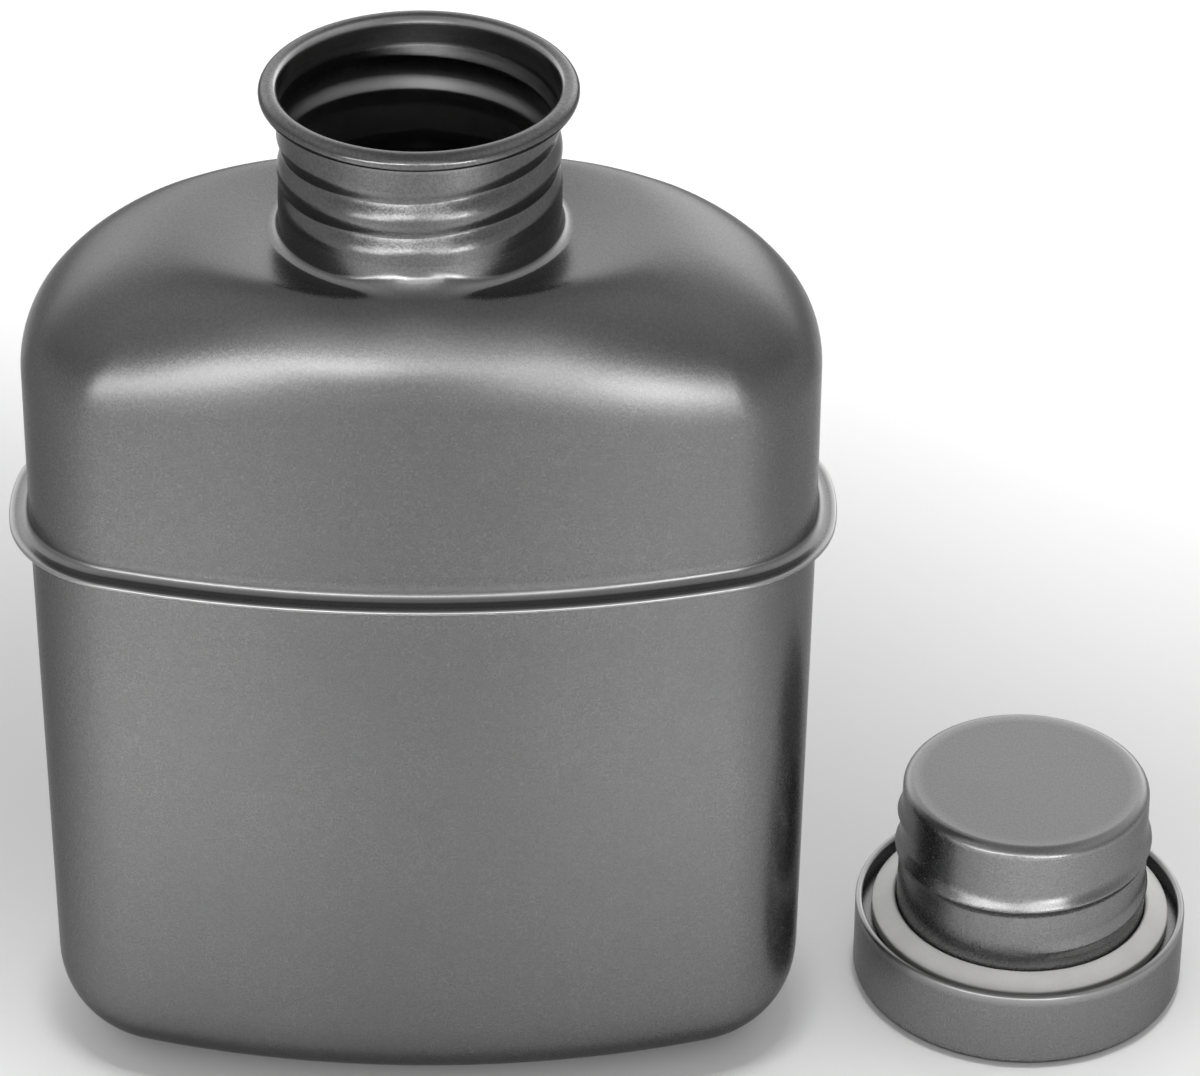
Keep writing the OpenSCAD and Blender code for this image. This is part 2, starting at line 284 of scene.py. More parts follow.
@dataclass(frozen=True)
class BlastedTitanium:
    """Bare titanium sheet with a fine bead-blasted face, glossy where rolled, lighter where its edges show
    rubbing and where light is painted in.
    """

    name: str = "blasted_titanium"
    tone: float = 0.18
    tone_spread: float = 0.018
    tone_from_clouds: float = 0.25
    # Colour of edges lightened by rubbing, also used for painted light: bounced light inside and a highlight
    # on the collar's turn.
    wear_and_painted_light_tone: float = 0.62
    roughness: float = 0.27
    roughness_spread: float = 0.05
    roughness_from_clouds: float = 0.4
    worn_roughness: float = 0.34
    polish: float = 0.13
    edge_tint: float = 0.55
    grain_mm: float = 0.42
    pit_mm: float = 0.95
    pit_smoothness: float = 0.6
    cloud_mm: float = 34.0
    cloud_band: tuple[float, float] = (0.3, 0.7)
    grain_band: tuple[float, float] = (0.35, 0.65)
    press_mm: float = 13.0
    patch_mm: float = 4.0
    patch_least: float = 0.8
    patch_spread: float = 0.4
    grain_part: float = 0.7
    pit_part: float = 0.6
    worn_smoothing: float = 0.6
    grain_height_mm: float = 0.0085
    press_height_mm: float = 0.008

    def make(self) -> bpy.types.Material:
        """Make the material.

        Returns:
            The material.
        """
        material = bpy.data.materials.new(self.name)
        material.use_nodes = True
        graph = Graph(material.node_tree)
        place = graph.object_place()
        grain = graph.noise(place, self.grain_mm, detail=3.0)
        pits = graph.value(
            "ShaderNodeTexVoronoi", "Distance", {"feature": "SMOOTH_F1"},
            {"Vector": place, "Scale": 1.0 / (self.pit_mm * MM), "Smoothness": self.pit_smoothness},
        )
        clouds = graph.noise(place, self.cloud_mm, detail=4.0)
        wear_and_painted_light = graph.attribute(WEAR_AND_PAINTED_LIGHT)
        patchiness = self.patch_least + self.patch_spread * graph.noise(place, self.patch_mm, detail=3.0)
        # Share of the lighter colour: real rubbing on edges, and painted bounced light and a painted
        # highlight where the mesh asks for them.
        wear_and_painted_light_share = (wear_and_painted_light * patchiness).held()

        cloudy = clouds.step(*self.cloud_band) * self.tone_from_clouds
        blotch = (cloudy + grain.step(*self.grain_band) * (1 - self.tone_from_clouds)).held()
        bare = graph.mixed(blotch, grey(self.tone - self.tone_spread), grey(self.tone + self.tone_spread))
        colour = graph.mixed(wear_and_painted_light_share, bare, grey(self.wear_and_painted_light_tone))
        spread = ((clouds - 0.5) * self.roughness_from_clouds + (grain - 0.5)) * self.roughness_spread
        roughness = self.roughness + spread + wear_and_painted_light_share * (self.worn_roughness - self.roughness)
        roughness = roughness - graph.attribute(POLISHED) * self.polish

        relief = grain * self.grain_part + pits * self.pit_part
        rough_face = relief * (1.0 - self.worn_smoothing * wear_and_painted_light_share)
        wave = graph.noise(place, self.press_mm, detail=1.0)
        pressed = graph.node(
            "ShaderNodeBump", {}, {"Strength": 1.0, "Distance": self.press_height_mm * MM, "Height": wave}
        )
        bump = graph.node(
            "ShaderNodeBump", {},
            {"Strength": 1.0, "Distance": self.grain_height_mm * MM, "Height": rough_face,
             "Normal": pressed.outputs["Normal"]},
        )
        shader = graph.node(
            "ShaderNodeBsdfPrincipled", {},
            {"Base Color": colour, "Metallic": 1.0, "Roughness": roughness,
             "Specular Tint": grey(self.edge_tint), "Normal": bump.outputs["Normal"]},
        )
        graph.node("ShaderNodeOutputMaterial", {}, {"Surface": shader.outputs["BSDF"]})
        return material


@dataclass(frozen=True)
class MouldedSilicone:
    """Pale silicone rubber with a soft shine and a little dust."""

    name: str = "moulded_silicone"
    tone: float = 0.52
    warmth: float = 0.02
    tone_spread: float = 0.03
    tone_from_specks: float = 0.3
    roughness: float = 0.34
    roughness_spread: float = 0.12
    speck_mm: float = 0.5
    speck_part: float = 0.6
    cloud_mm: float = 6.0
    noise_band: tuple[float, float] = (0.3, 0.7)
    relief_mm: float = 0.006

    def make(self) -> bpy.types.Material:
        """Make the material.

        Returns:
            The material.
        """
        material = bpy.data.materials.new(self.name)
        material.use_nodes = True
        graph = Graph(material.node_tree)
        place = graph.object_place()
        specks = graph.noise(place, self.speck_mm, detail=3.0)
        clouds = graph.noise(place, self.cloud_mm, detail=3.0)
        speckled = specks.step(*self.noise_band) * self.tone_from_specks
        share = (speckled + clouds.step(*self.noise_band) * (1 - self.tone_from_specks)).held()
        colour = graph.mixed(
            share,
            grey(self.tone - self.tone_spread, self.warmth),
            grey(self.tone + self.tone_spread, self.warmth),
        )
        bump = graph.node(
            "ShaderNodeBump", {},
            {"Strength": 1.0, "Distance": self.relief_mm * MM, "Height": specks * self.speck_part + clouds},
        )
        shader = graph.node(
            "ShaderNodeBsdfPrincipled", {},
            {"Base Color": colour, "Roughness": self.roughness + (clouds - 0.5) * self.roughness_spread,
             "Normal": bump.outputs["Normal"]},
        )
        graph.node("ShaderNodeOutputMaterial", {}, {"Surface": shader.outputs["BSDF"]})
        return material


@dataclass(frozen=True)
class PaleFloor:
    """Seamless white card."""

    name: str = "pale_card"
    tone: float = 0.86
    roughness: float = 0.9
    gloss: float = 0.2

    def make(self) -> bpy.types.Material:
        """Make the material.

        Returns:
            The material.
        """
        material = bpy.data.materials.new(self.name)
        material.use_nodes = True
        graph = Graph(material.node_tree)
        shader = graph.node(
            "ShaderNodeBsdfPrincipled", {},
            {"Base Color": grey(self.tone), "Roughness": self.roughness, "Specular IOR Level": self.gloss},
        )
        graph.node("ShaderNodeOutputMaterial", {}, {"Surface": shader.outputs["BSDF"]})
        return material


def mix(a: Amount, b: Amount, share: float) -> Amount:
    """A value part of the way from a to b."""
    return a + (b - a) * share


def bezier(
    a: np.ndarray, b: np.ndarray, c: np.ndarray, d: np.ndarray, t: np.ndarray | float
) -> np.ndarray:
    """Points of a cubic curve.

    Args:
        a: Its start.
        b: The start's handle.
        c: The end's handle.
        d: Its end.
        t: Places on it, from 0 to 1.

    Returns:
        The points.
    """
    return (1 - t) ** 3 * a + 3 * (1 - t) ** 2 * t * b + 3 * (1 - t) * t**2 * c + t**3 * d


def arc(
    centre: tuple[float, float], radius: float, start: float, end: float, steps: int
) -> list[tuple[float, float]]:
    """Points of an arc, both ends among them.

    Args:
        centre: Its middle.
        radius: Its radius.
        start: First angle, in degrees.
        end: Last angle, in degrees.
        steps: Number of steps.

    Returns:
        The points.
    """
    turns = [math.radians(mix(start, end, k / steps)) for k in range(steps + 1)]
    return [(centre[0] + radius * math.cos(a), centre[1] + radius * math.sin(a)) for a in turns]


def line(start: tuple[float, float], end: tuple[float, float], steps: int) -> list[tuple[float, float]]:
    """Points between two points, without either end.

    Args:
        start: The first point.
        end: The last point.
        steps: Number of steps.

    Returns:
        The points.
    """
    shares = [k / steps for k in range(1, steps)]
    return [(mix(start[0], end[0], s), mix(start[1], end[1], s)) for s in shares]


@dataclass
class Skin:
    """A closed surface made of rings of points, each joined to the next."""

    name: str
    joined: bool = False
    sharp_degrees: float = 40.0
    smallest_share: float = 0.01
    rings: list[np.ndarray] = field(default_factory=list)
    wear_and_painted_light_values: list[float] = field(default_factory=list)
    shine: list[float] = field(default_factory=list)

    def add(self, ring: np.ndarray, wear_and_painted_light: float = 0.0, polished: float = 0.0) -> None:
        """Add a ring.

        Args:
            ring: Its points, in millimetres.
            wear_and_painted_light: How much lighter it is coloured, from 0 to 1: by rubbing on edges and
                lips, and as painted light that stands for bounced light inside or for a highlight.
            polished: How smooth forming has left it, from 0 to 1.
        """
        self.rings.append(ring)
        self.wear_and_painted_light_values.append(wear_and_painted_light)
        self.shine.append(polished)

    def add_disc(self, ring: np.ndarray, steps: int, outward: bool) -> None:
        """Fill a flat ring down to a small ring about its middle, or open out from one.

        Args:
            ring: The outer ring, which isn't added itself.
            steps: Number of rings.
            outward: Whether the rings grow, as at a skin's start.
        """
        middle = ring.mean(0)
        shares = [k / (steps + 1) for k in range(steps, 0, -1)] + [self.smallest_share]
        for share in reversed(shares) if outward else shares:
            self.add(middle + (ring - middle) * share)

    def build(self, offset: tuple[float, float] = (0.0, 0.0)) -> bpy.types.Object:
        """Make the object.

        Args:
            offset: Where its axis stands, in millimetres.

        Returns:
            The object, in metres.
        """
        count, n = len(self.rings), len(self.rings[0])
        points = np.concatenate(self.rings) + np.array([*offset, 0.0])
        rows = np.arange(count if self.joined else count - 1)[:, None]
        here, after = np.arange(n)[None, :], (np.arange(n)[None, :] + 1) % n
        above = ((rows + 1) % count) * n
        quads = np.stack([rows * n + here, rows * n + after, above + after, above + here], -1)
        faces: list[list[int]] = quads.reshape(-1, 4).tolist()
        if not self.joined:
            faces.append(list(range(n - 1, -1, -1)))
            faces.append(list(range((count - 1) * n, count * n)))
        mesh = bpy.data.meshes.new(self.name)
        mesh.from_pydata((points * MM).tolist(), [], faces)
        mesh.update()
        mesh.shade_smooth()
        mesh.set_sharp_from_angle(angle=math.radians(self.sharp_degrees))
        for name, values in ((WEAR_AND_PAINTED_LIGHT, self.wear_and_painted_light_values), (POLISHED, self.shine)):
            attribute = mesh.attributes.new(name, "FLOAT", "POINT")
            attribute.data.foreach_set("value", np.repeat(np.array(values, np.float32), n))
        made = bpy.data.objects.new(self.name, mesh)
        bpy.context.scene.collection.objects.link(made)
        return made


@dataclass
class Outline:
    """Oval plan of the body: three arcs in each quarter, tangent to each other."""

    half_width: float = 73.0
    half_depth: float = 36.0
    front_radius: float = 188.0
    corner_radius: float = 24.5
    end_radius: float = 52.0
    front_steps: int = 26
    corner_steps: int = 26
    end_steps: int = 8

    def __post_init__(self) -> None:
        """Work out where the arcs meet."""
        front = np.array([0.0, self.front_radius - self.half_depth])
        end = np.array([self.half_width - self.end_radius, 0.0])
        ra, rb = self.front_radius - self.corner_radius, self.end_radius - self.corner_radius
        gap = float(np.linalg.norm(end - front))
        along = (ra**2 - rb**2 + gap**2) / (2 * gap)
        out = math.sqrt(ra**2 - along**2)
        way = (end - front) / gap
        corner = front + along * way + out * np.array([-way[1], way[0]])
        first = math.atan2(corner[0] - front[0], front[1] - corner[1])
        second = math.atan2(corner[0] - end[0], end[1] - corner[1])
        arcs = [
            (front, self.front_radius, 0.0, first, self.front_steps),
            (corner, self.corner_radius, first, second, self.corner_steps),
            (end, self.end_radius, second, math.pi / 2, self.end_steps),
        ]
        turns, centres, radii = [], [], []
        for centre, radius, low, high, steps in arcs:
            for k in range(steps):
                turns.append(mix(low, high, k / steps))
                centres.append(centre)
                radii.append(radius)
        turns.append(math.pi / 2)
        centres.append(end)
        radii.append(self.end_radius)
        self.normals = np.column_stack([np.sin(turns), -np.cos(turns)])
        self.centres, self.radii = np.array(centres), np.array(radii)

    def points(self, inset: float) -> np.ndarray:
        """The outline, counted counterclockwise from the front.

        Args:
            inset: How far it is drawn in.

        Returns:
            Its points.
        """
        right = self.centres + (self.radii - inset)[:, None] * self.normals
        back = right[-2:0:-1] * [1, -1]
        half = np.vstack([right, back])
        other = np.vstack([right[0] * [1, -1], (half[1:] * [-1, 1])[::-1]])
        return np.vstack([half, other])


@dataclass
class PressedBody:
    """The two pressed half shells, joined at the seam flange."""

    plan: Outline = field(default_factory=Outline)
    sheet: float = 0.5
    seam_height: float = 108.8
    flange_out: float = 3.5
    fillet: float = 1.5
    bullnose: float = 0.46
    end_set_in: float = 1.2
    base_edge: float = 17.0
    shoulder_height: float = 166.0
    end_bend_height: float = 139.0
    front_bend_height: float = 147.5
    end_top: float = 38.0
    front_top: float = 24.0
    rise_share: float = 0.5
    reach_share: float = 0.475
    blend_power: float = 2.5
    neck_radius: float = 24.3
    neck_turn: float = 2.0
    neck_foot: float = 170.5
    turn_share: float = 0.6
    # Painted highlight: how much lighter the collar's turn at the neck's foot is coloured.
    turn_painted_highlight: float = 0.16
    edge_wear: float = 0.62
    seam_wear: float = 0.48
    flange_wear: float = 0.1
    fillet_wear: float = 0.23
    # Painted light: the inner faces of the shells are coloured lighter to stand in for light bounced about
    # inside.
    inside_painted_bounce_light: float = 0.6
    seam_set_in: float = 0.092
    flange_flat: float = 1.2
    low_clear: float = 4.0
    high_clear: float = 3.0
    foot_level: float = 165.3
    foot_reach: float = 9.0
    brow_blend: float = 2.5
    brow_share: float = 0.4
    probe: float = 0.05
    halvings: int = 40
    dome_steps: int = 44
    turn_steps: int = 8
    fillet_steps: int = 7
    bullnose_steps: int = 5
    wall_steps: int = 12
    outer_wall_steps: int = 14
    edge_steps: int = 18
    disc_steps: int = 6

    def ring(self, inset: float, height: float, set_in: float = 0.0) -> np.ndarray:
        """One level ring of the body.

        Args:
            inset: How far it lies in from the flange's edge.
            height: Its height.
            set_in: How much further in its narrow ends are.

        Returns:
            Its points.
        """
        plan = self.plan.points(inset)
        half = self.plan.half_width - inset
        narrow = (half - set_in) / half
        return np.column_stack([plan[:, 0] * narrow, plan[:, 1], np.full(len(plan), height)])

    def _sections(self, inset: float) -> tuple[np.ndarray, ...]:
        """The shoulder's section towards each point of the outline.

        Args:
            inset: How far the surface lies inside the outer face.

        Returns:
            Wall radius, top radius, bend height and top height.
        """
        wall = np.linalg.norm(self.plan.points(self.flange_out), axis=1)
        low, high = self.plan.half_depth - self.flange_out, self.plan.half_width - self.flange_out
        narrow = np.clip((wall - low) / (high - low), 0, 1)
        share = 1 - (1 - narrow) ** self.blend_power
        top = self.front_top + (self.end_top - self.front_top) * share - inset
        bend = self.front_bend_height + (self.end_bend_height - self.front_bend_height) * share
        return wall - inset, top, bend, np.full_like(wall, self.shoulder_height - inset)

    def _height(self, sections: tuple[np.ndarray, ...], radius: np.ndarray) -> np.ndarray:
        """Height of the shoulder at a radius towards each point of the outline.

        Args:
            sections: What _sections gives.
            radius: The radii.

        Returns:
            The heights.
        """
        wall, top, bend, level = sections
        low, high = np.zeros_like(wall), np.ones_like(wall)
        for _ in range(self.halvings):
            middle = (low + high) / 2
            outside = bezier(wall, wall, top + (wall - top) * self.reach_share, top, middle) > radius
            low, high = np.where(outside, middle, low), np.where(outside, high, middle)
        height = bezier(bend, bend + (level - bend) * self.rise_share, level, level, (low + high) / 2)
        return np.where(radius <= top, level, height)

    def _eased_height(self, sections: tuple[np.ndarray, ...], radius: np.ndarray, inset: float) -> np.ndarray:
        """Height of the shoulder with its tight bends eased and its foot round the neck made level.

        Args:
            sections: What _sections gives.
            radius: The radii.
            inset: How far the surface lies inside the outer face.

        Returns:
            The heights.
        """
        def eased(place: np.ndarray) -> np.ndarray:
            """Mean height about a radius, over less and less towards the wall."""
            reach = np.minimum(self.brow_blend, self.brow_share * (sections[0] - place))
            sides = self._height(sections, place - reach) + self._height(sections, place + reach)
            return self._height(sections, place) / 2 + sides / 4

        foot = np.full_like(radius, self.neck_radius + self.neck_turn)
        nearness = np.clip(1 - (radius - foot) / self.foot_reach, 0, 1) ** 2
        return eased(radius) + (self.foot_level - inset - eased(foot)) * nearness

    def _shoulder(self, inset: float) -> list[np.ndarray]:
        """Rings of the shoulder, from the wall's bend up to the collar's end.

        Args:
            inset: How far the surface lies inside the outer face.

        Returns:
            The rings.
        """
        sections = self._sections(inset)
        wall = sections[0]
        foot_r = np.full_like(wall, self.neck_radius + self.neck_turn)
        top_r = np.full_like(wall, self.neck_radius - inset)
        foot_z = self._eased_height(sections, foot_r, inset)
        slope = (self._eased_height(sections, foot_r + self.probe, inset) - foot_z) / self.probe
        knee_z = foot_z - slope * (foot_r - top_r)
        top_z = knee_z + np.hypot(foot_r - top_r, foot_z - knee_z)
        profile: list[tuple[np.ndarray, np.ndarray]] = []
        for k in range(self.dome_steps):
            radius = foot_r + (wall - foot_r) * math.cos(math.pi / 2 * k / self.dome_steps)
            profile.append((radius, sections[2] if k == 0 else self._eased_height(sections, radius, inset)))
        for k in range(self.turn_steps + 1):
            t, share = k / self.turn_steps, self.turn_share
            profile.append((
                bezier(foot_r, mix(foot_r, top_r, share), top_r, top_r, t),
                bezier(foot_z, mix(foot_z, knee_z, share), mix(top_z, knee_z, share), top_z, t),
            ))
        profile.append((top_r, np.full_like(wall, self.neck_foot)))
        plan = self.plan.points(self.flange_out)
        ways = plan / np.linalg.norm(plan, axis=1)[:, None]
        return [np.column_stack([ways * r[:, None], z]) for r, z in profile]

    def _fillet(self, inset: float, height: float, low: float, high: float) -> list[tuple[float, float]]:
        """Where a wall turns out into the flange, as (inset, height) pairs.

        Args:
            inset: Inset of the fillet's middle.
            height: Height of its middle.
            low: First angle, in degrees.
            high: Last angle, in degrees.

        Returns:
            The pairs.
        """
        return arc((inset, height), self.fillet, low, high, self.fillet_steps)

    def upper(self) -> bpy.types.Object:
        """The upper half: flange, wall, shoulder and collar.

        Returns:
            The object.
        """
        skin = Skin("upper_half_shell", joined=True)
        root, nose, seam = self.flange_out + self.sheet, self.bullnose, self.seam_height
        top = seam + self.sheet
        skin.add(self.ring(self.seam_set_in, seam), self.seam_wear)
        for inset, height in arc((nose, top - nose), nose, 180, 90, self.bullnose_steps):
            skin.add(self.ring(inset, height), self.edge_wear)
        skin.add(self.ring(self.flange_flat, top), self.flange_wear)
        for inset, height in self._fillet(self.flange_out - self.fillet, top + self.fillet, -90, 0):
            skin.add(self.ring(inset, height), self.fillet_wear)
        low, high = seam + self.low_clear, self.end_bend_height - self.high_clear
        for height in np.linspace(low, high, self.wall_steps):
            skin.add(self.ring(self.flange_out, float(height)))
        # The collar's turn is coloured lighter as a painted highlight, and made smoother.
        for step, ring in enumerate(self._shoulder(0.0), -self.dome_steps):
            turn = math.sin(math.pi * min(1.0, max(0.0, step / self.turn_steps)))
            skin.add(ring, self.turn_painted_highlight * turn, turn)
        # Inner faces: lighter colour as painted bounced light.
        for ring in reversed(self._shoulder(self.sheet)):
            skin.add(ring, self.inside_painted_bounce_light)
        for inset, height in self._fillet(root - self.fillet, seam + self.fillet, 0, -90):
            skin.add(self.ring(inset, height))
        return skin.build()

    def lower(self) -> bpy.types.Object:
        """The lower half: flange, drafted wall, rounded edge and base.

        Returns:
            The object.
        """
        skin = Skin("lower_half_shell")
        root, nose, seam = self.flange_out + self.sheet, self.bullnose, self.seam_height
        span = seam - self.base_edge
        inner_edge = self.base_edge - self.sheet

        def ring(inset: float, height: float) -> np.ndarray:
            """A ring with the draft of its height."""
            share = min(1.0, max(0.0, (seam - height) / span))
            return self.ring(inset, height, self.end_set_in * share)

        inside = arc((root + inner_edge, self.base_edge), -inner_edge, 90, 0, self.edge_steps)
        inside += line((root, self.base_edge), (root, seam - self.fillet), self.wall_steps)
        inside += self._fillet(root - self.fillet, seam - self.fillet, 0, 90)
        skin.add_disc(ring(*inside[0]), self.disc_steps, outward=True)
        # Inner faces: lighter colour as painted bounced light.
        for inset, height in inside:
            skin.add(ring(inset, height), self.inside_painted_bounce_light)
        skin.add(ring(self.seam_set_in, seam), self.seam_wear)
        for inset, height in arc((nose, seam - self.sheet + nose), nose, 180, 270, self.bullnose_steps):
            skin.add(ring(inset, height), self.edge_wear)
        wall, base = self.flange_out, self.base_edge
        outside = self._fillet(wall - self.fillet, seam - self.sheet - self.fillet, 90, 0)
        outside += line((wall, seam - self.high_clear), (wall, base), self.outer_wall_steps)
        outside += arc((wall + base, base), -base, 0, 90, self.edge_steps)
        for inset, height in outside:
            skin.add(ring(inset, height))
        skin.add_disc(ring(*outside[-1]), self.disc_steps, outward=False)
        return skin.build()


@dataclass(frozen=True)
class Thread:
    """One start of a pressed knuckle thread; angles count up counterclockwise from +X."""

    height: float
    depth: float
    start: float
    end: float
    flank_up: float
    flank_down: float
    pitch: float = 6.5
    fade: float = 40.0
    roundness: float = 0.85
    straightness: float = 0.5

    def at(self, angle: np.ndarray, height: float) -> np.ndarray:
        """How far the thread stands out at each angle of one level.

        Args:
            angle: The angles, in degrees.
            height: The level.

        Returns:
            The depths.
        """
        best = np.zeros_like(angle)
        for turn in range(math.floor(self.start / 360) - 1, math.ceil(self.end / 360) + 1):
            along = angle + 360 * turn
            rise = np.clip((along - self.start) / self.fade, 0, 1)
            fall = np.clip((self.end - along) / self.fade, 0, 1)
            shown = (1 - np.cos(np.pi * rise)) / 2 * (1 - np.cos(np.pi * fall)) / 2
            dz = height - self.height - self.pitch * along / 360
            flank = np.where(dz > 0, self.flank_up, self.flank_down)
            reach = np.minimum(1, np.abs(dz) / flank) ** self.roundness
            rounded = (1 + np.cos(np.pi * reach)) / 2
            best = np.maximum(best, shown * (rounded + (1 - reach - rounded) * self.straightness))
        return self.depth * best


def clear_share(height: float, low: float, high: float) -> float:
    """How far a height is clear of a band's two ends, from 0 at an end to 1."""
    return max(0.0, min(1.0, high - height, height - low))


def turned_ring(radius: np.ndarray | float, height: float, angles: np.ndarray) -> np.ndarray:
    """A ring about the axis.

    Args:
        radius: One radius, or one for each angle.
        height: Its height.
        angles: The angles, in degrees.

    Returns:
        Its points.
    """
    turns = np.radians(angles)
    radii = np.broadcast_to(radius, turns.shape)
    return np.column_stack([radii * np.cos(turns), radii * np.sin(turns), np.full(len(turns), height)])


@dataclass
class ThreadedNeck:
    """The neck: a thin tube with a pressed thread and a rolled rim."""

    radius: float = 24.3
    sheet: float = 0.5
    foot: float = 170.5
    rim_height: float = 191.1
    bead: float = 1.7
    thread_top: float = 188.0
    thread: Thread = Thread(height=183.8, depth=0.75, start=-550, end=125, flank_up=2.6, flank_down=3.2)
    facets: int = 224
    row: float = 0.22
    bead_steps: int = 26
    lip_wear: float = 0.5
    rim_polish: float = 0.6
    # Painted bounced light inside the neck: (height, share) pairs of a lighter colour, in bands.
    inside_painted_bounce_light: tuple[tuple[float, float], ...] = ((182, 1.0), (185, 0.2), (187, 0.2), (188, 0.9))

    def build(self) -> bpy.types.Object:
        """Make the neck.

        Returns:
            The object.
        """
        angles = np.arange(self.facets) * 360 / self.facets
        middle = self.radius - self.sheet + self.bead
        crease = math.degrees(math.acos((self.radius - middle) / self.bead))
        heights = np.arange(self.foot, self.thread_top, self.row)
        # Heights and shares of the painted bounced light inside.
        bounce_light_heights, bounce_light_shares = zip(*self.inside_painted_bounce_light)

        def wall(height: float, inset: float) -> np.ndarray:
            """A ring of the tube with the thread pressed in."""
            pressed = self.thread.at(angles, height) * clear_share(height, self.foot, self.thread_top)
            return turned_ring(self.radius - inset - pressed, height, angles)

        skin = Skin("threaded_neck", joined=True)
        for height in heights:
            skin.add(wall(float(height), 0.0))
        for radius, height in arc((middle, self.rim_height), self.bead, -crease, 180, self.bead_steps):
            wear_and_painted_light = self.lip_wear if radius < middle - self.bead / 2 else 0.0
            skin.add(turned_ring(radius, height, angles), wear_and_painted_light, self.rim_polish)
        # Inner wall: lighter colour by height, as painted bounced light.
        for height in reversed(heights):
            skin.add(wall(float(height), self.sheet), float(np.interp(height, bounce_light_heights, bounce_light_shares)))
        return skin.build()


